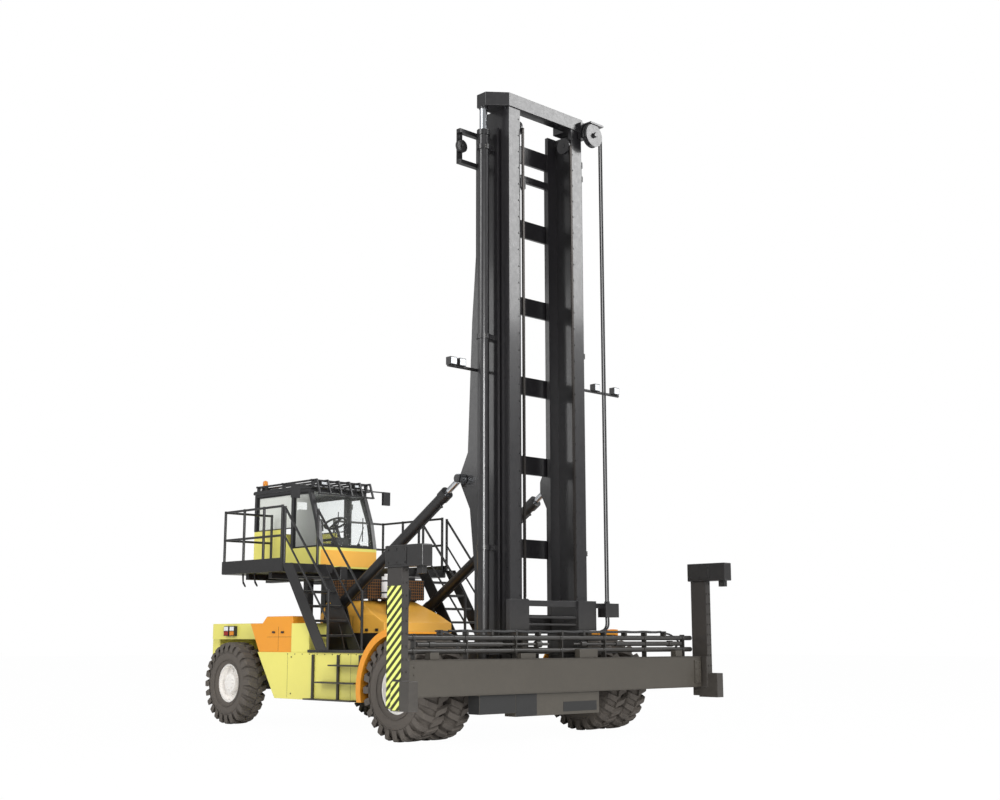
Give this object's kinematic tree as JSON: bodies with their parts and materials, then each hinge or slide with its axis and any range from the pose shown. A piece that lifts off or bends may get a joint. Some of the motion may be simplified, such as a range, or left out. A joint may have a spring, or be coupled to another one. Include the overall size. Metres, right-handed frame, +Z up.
{
  "type": "empty container handler",
  "caption": "Wheeled lift machine for empty containers: tall two-stage mast with a telescopic side spreader, raised cab with decks and stairs, twin front tyres and steered rear wheels.",
  "frame": {"origin": "on the ground, under the middle of the machine's overall box", "axes": "+X forward towards the spreader, +Y to the machine's left, +Z up"},
  "size_m": [7.77, 6.25, 9.26],
  "materials": {
    "yellow_paint": "gloss enamel",
    "orange_paint": "gloss enamel",
    "chain_steel": "oiled leaf chain",
    "hose_rubber": "smooth cover",
    "lamp_plastic": "moulded lens in a housing",
    "mast_paint": "satin enamel over mill scale",
    "spreader_paint": "satin enamel",
    "black_paint": "satin enamel",
    "rod_chrome": "ground and plated",
    "tyre_rubber": "moulded",
    "rim_paint": "gloss enamel",
    "cast_iron": "as cast, painted",
    "white_plastic": "moulded",
    "glass": "tinted safety glass",
    "seat_fabric": "woven",
    "black_plastic": "textured"
  },
  "bodies": {
    "chassis": {"front_axle": "black_paint", "chassis_frame": "black_paint", "hood_base": "black_paint", "hood_fittings": "black_paint", "mirrors": "black_paint", "tail_lamps": "lamp_plastic", "steer_axle": "black_paint", "fuel_tank": "yellow_paint", "hydraulic_tank": "yellow_paint", "rear_side_boxes": "orange_paint", "battery_box": "yellow_paint", "walkways": "black_paint", "counterweight": "yellow_paint", "engine_block": "cast_iron", "hood": "orange_paint", "air_cleaner": "white_plastic", "front_fenders": "orange_paint", "deck": "black_paint", "stairs": "black_paint", "railings": "black_paint", "side_steps": "black_paint", "cab_base": "yellow_paint", "cab_frame": "black_paint", "cab_roof": "black_paint", "roof_guard": "black_paint", "cab_glass": "glass", "seat": "seat_fabric", "steering_console": "black_plastic"},
    "front_wheels_right": {"front_tyres_right": "tyre_rubber", "front_rims_right": "rim_paint"},
    "front_wheels_left": {"front_tyres_left": "tyre_rubber", "front_rims_left": "rim_paint"},
    "knuckle_right": {"rear_knuckle_right": "black_paint"},
    "knuckle_left": {"rear_knuckle_left": "black_paint"},
    "rear_wheel_right": {"rear_tyre_right": "tyre_rubber", "rear_rim_right": "rim_paint"},
    "rear_wheel_left": {"rear_tyre_left": "tyre_rubber", "rear_rim_left": "rim_paint"},
    "door": {"cab_door": "black_paint", "door_glass": "glass"},
    "mast": {"outer_mast": "mast_paint", "lift_barrels": "black_paint", "mast_arms": "black_paint"},
    "tilt_barrel_right": {"tilt_barrel_right": "black_paint"},
    "tilt_barrel_left": {"tilt_barrel_left": "black_paint"},
    "tilt_rod_right": {"tilt_rod_right": "rod_chrome"},
    "tilt_rod_left": {"tilt_rod_left": "rod_chrome"},
    "upper_mast": {"inner_mast": "mast_paint", "top_beam": "mast_paint", "lift_rods": "rod_chrome", "hose_sheave": "black_paint", "lift_chains": "chain_steel", "lift_hoses": "hose_rubber"},
    "carriage": {"carriage": "mast_paint"},
    "spreader": {"spreader_beam": "spreader_paint", "spreader_rack": "spreader_paint"},
    "telescope_right": {"telescope_right": "spreader_paint", "hook_head_right": "spreader_paint"},
    "telescope_left": {"telescope_left": "spreader_paint", "hook_head_left": "spreader_paint"}
  },
  "joints": [
    {"name": "front_wheels_right_spin", "type": "hinge", "parent": "chassis", "child": "front_wheels_right", "pos_m": [2.265, -1.775, 0.685], "axis": [0, 1, 0], "continuous": true},
    {"name": "front_wheels_left_spin", "type": "hinge", "parent": "chassis", "child": "front_wheels_left", "pos_m": [2.265, 1.775, 0.685], "axis": [0, 1, 0], "continuous": true},
    {"name": "steer_right", "type": "hinge", "parent": "chassis", "child": "knuckle_right", "pos_m": [-2.635, -1.12, 0.65], "axis": [0, 0, 1], "range_deg": [-55, 55]},
    {"name": "steer_left", "type": "hinge", "parent": "chassis", "child": "knuckle_left", "pos_m": [-2.635, 1.12, 0.65], "axis": [0, 0, 1], "range_deg": [-55, 55]},
    {"name": "rear_wheel_right_spin", "type": "hinge", "parent": "knuckle_right", "child": "rear_wheel_right", "pos_m": [-2.635, -1.485, 0.65], "axis": [0, 1, 0], "continuous": true},
    {"name": "rear_wheel_left_spin", "type": "hinge", "parent": "knuckle_left", "child": "rear_wheel_left", "pos_m": [-2.635, 1.485, 0.65], "axis": [0, 1, 0], "continuous": true},
    {"name": "door_swing", "type": "hinge", "parent": "chassis", "child": "door", "pos_m": [-2.274, 0.512, 3.2], "axis": [0, 0, 1], "range_deg": [0, 85]},
    {"name": "mast_tilt", "type": "hinge", "parent": "chassis", "child": "mast", "pos_m": [2.265, 0, 0.685], "axis": [0, 1, 0], "range_deg": [-5, 3]},
    {"name": "tilt_barrel_right_swing", "type": "hinge", "parent": "chassis", "child": "tilt_barrel_right", "pos_m": [-0.735, -0.912, 1.8], "axis": [0, 1, 0], "range_deg": [-2.3, 1.4]},
    {"name": "tilt_rod_right_stroke", "type": "slide", "parent": "tilt_barrel_right", "child": "tilt_rod_right", "axis": [0.8453, 0, 0.5342], "range_m": [-0.23, 0.14]},
    {"name": "tilt_barrel_left_swing", "type": "hinge", "parent": "chassis", "child": "tilt_barrel_left", "pos_m": [-0.735, 0.912, 1.8], "axis": [0, 1, 0], "range_deg": [-2.3, 1.4]},
    {"name": "tilt_rod_left_stroke", "type": "slide", "parent": "tilt_barrel_left", "child": "tilt_rod_left", "axis": [0.8453, 0, 0.5342], "range_m": [-0.23, 0.14]},
    {"name": "mast_lift", "type": "slide", "parent": "mast", "child": "upper_mast", "axis": [0, 0, 1], "range_m": [0, 6.6]},
    {"name": "carriage_lift", "type": "slide", "parent": "upper_mast", "child": "carriage", "axis": [0, 0, 1], "range_m": [0, 6.6], "deforming": ["lift_chains", "lift_hoses"]},
    {"name": "side_shift", "type": "slide", "parent": "carriage", "child": "spreader", "axis": [0, 1, 0], "range_m": [-0.5, 0.5]},
    {"name": "telescope_right_stroke", "type": "slide", "parent": "spreader", "child": "telescope_right", "axis": [0, -1, 0], "range_m": [0, 3.05]},
    {"name": "telescope_left_stroke", "type": "slide", "parent": "spreader", "child": "telescope_left", "axis": [0, 1, 0], "range_m": [0, 3.05]}
  ],
  "couplings": [
    {"joint": "steer_left", "follows": "steer_right", "ratio": 1},
    {"joint": "tilt_barrel_right_swing", "follows": "mast_tilt", "ratio": 0.429},
    {"joint": "tilt_barrel_left_swing", "follows": "mast_tilt", "ratio": 0.429},
    {"joint": "tilt_rod_right_stroke", "follows": "mast_tilt", "m_per_rad": 2.56},
    {"joint": "tilt_rod_left_stroke", "follows": "mast_tilt", "m_per_rad": 2.56},
    {"joint": "carriage_lift", "follows": "mast_lift", "ratio": 1},
    {"joint": "telescope_left_stroke", "follows": "telescope_right_stroke", "ratio": 1}
  ]
}
